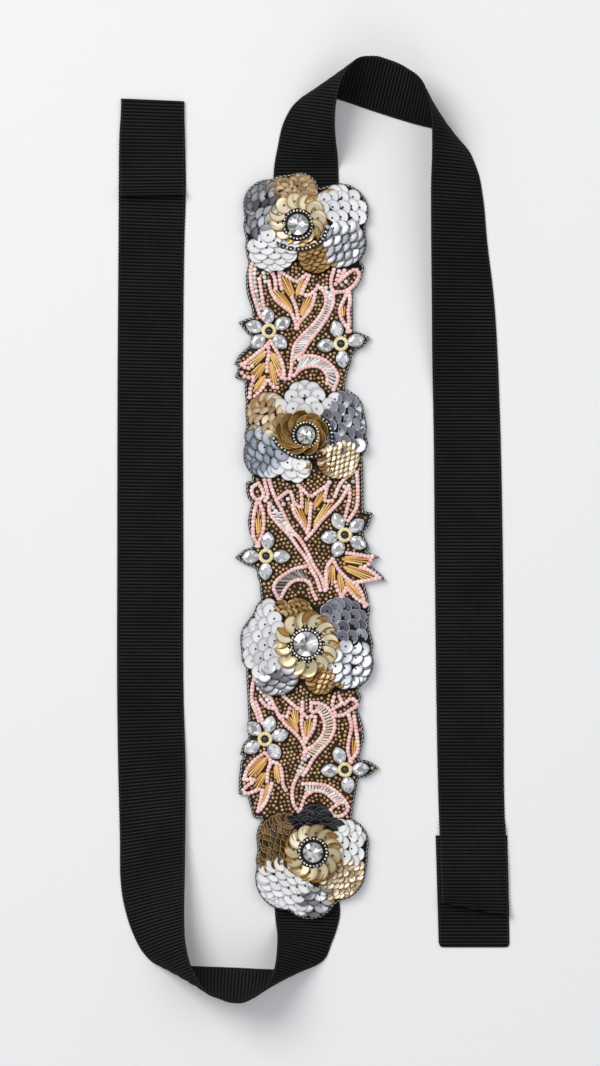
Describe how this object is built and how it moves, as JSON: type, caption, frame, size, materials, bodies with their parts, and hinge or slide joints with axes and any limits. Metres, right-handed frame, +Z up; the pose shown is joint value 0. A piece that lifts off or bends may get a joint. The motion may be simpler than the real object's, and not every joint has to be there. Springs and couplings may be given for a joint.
{
  "type": "sequin belt",
  "caption": "Long tie belt of black ribbon laid down in an S, with a beaded and sequinned flower panel on its middle stretch.",
  "frame": {"origin": "middle of the laid-out belt's bounding box, on the surface that it lies on", "axes": "+X to the right of the layout, +Y along the panel towards its upper end, +Z up from the surface towards the decorated side"},
  "size_m": [0.2262, 0.541, 0.0327],
  "materials": {
    "grosgrain_black": "ribbed matt black ribbon",
    "felt_black": "matt black felt",
    "beads_rose_bronze": "small pink and bronze beads",
    "sequins_white_silver": "white and silver sequins",
    "sequins_gold": "gold sequins",
    "crystal": "round cut stone",
    "glass_stone": "foiled pointed cut stone",
    "bead_ring_cream": "ring of cream beads round a black one"
  },
  "bodies": {
    "root": {"beadwork_1": "beads_rose_bronze", "beadwork_2": "beads_rose_bronze", "beadwork_3": "beads_rose_bronze", "panel_backing": "felt_black", "ribbon_centre": "grosgrain_black", "ribbon_end_tab": "grosgrain_black", "ribbon_left_tail": "grosgrain_black", "ribbon_lower_turn": "grosgrain_black", "ribbon_right_tail": "grosgrain_black", "ribbon_upper_turn": "grosgrain_black", "rosette_1_flower": "sequins_gold", "rosette_1_petals": "sequins_white_silver", "rosette_1_stone": "crystal", "rosette_2_flower": "sequins_gold", "rosette_2_petals": "sequins_white_silver", "rosette_2_stone": "crystal", "rosette_3_flower": "sequins_gold", "rosette_3_petals": "sequins_white_silver", "rosette_3_stone": "crystal", "rosette_4_flower": "sequins_gold", "rosette_4_petals": "sequins_white_silver", "rosette_4_stone": "crystal", "star_1_centre": "bead_ring_cream", "star_1_stone_1": "glass_stone", "star_1_stone_2": "glass_stone", "star_1_stone_3": "glass_stone", "star_1_stone_4": "glass_stone", "star_1_stone_5": "glass_stone", "star_2_centre": "bead_ring_cream", "star_2_stone_1": "glass_stone", "star_2_stone_2": "glass_stone", "star_2_stone_3": "glass_stone", "star_2_stone_4": "glass_stone", "star_3_centre": "bead_ring_cream", "star_3_stone_1": "glass_stone", "star_3_stone_2": "glass_stone", "star_3_stone_3": "glass_stone", "star_3_stone_4": "glass_stone", "star_4_centre": "bead_ring_cream", "star_4_stone_1": "glass_stone", "star_4_stone_2": "glass_stone", "star_4_stone_3": "glass_stone", "star_4_stone_4": "glass_stone", "star_4_stone_5": "glass_stone", "star_5_centre": "bead_ring_cream", "star_5_stone_1": "glass_stone", "star_5_stone_2": "glass_stone", "star_5_stone_3": "glass_stone", "star_5_stone_4": "glass_stone", "star_5_stone_5": "glass_stone", "star_6_centre": "bead_ring_cream", "star_6_stone_1": "glass_stone", "star_6_stone_2": "glass_stone", "star_6_stone_3": "glass_stone", "star_6_stone_4": "glass_stone"}
  },
  "joints": []
}
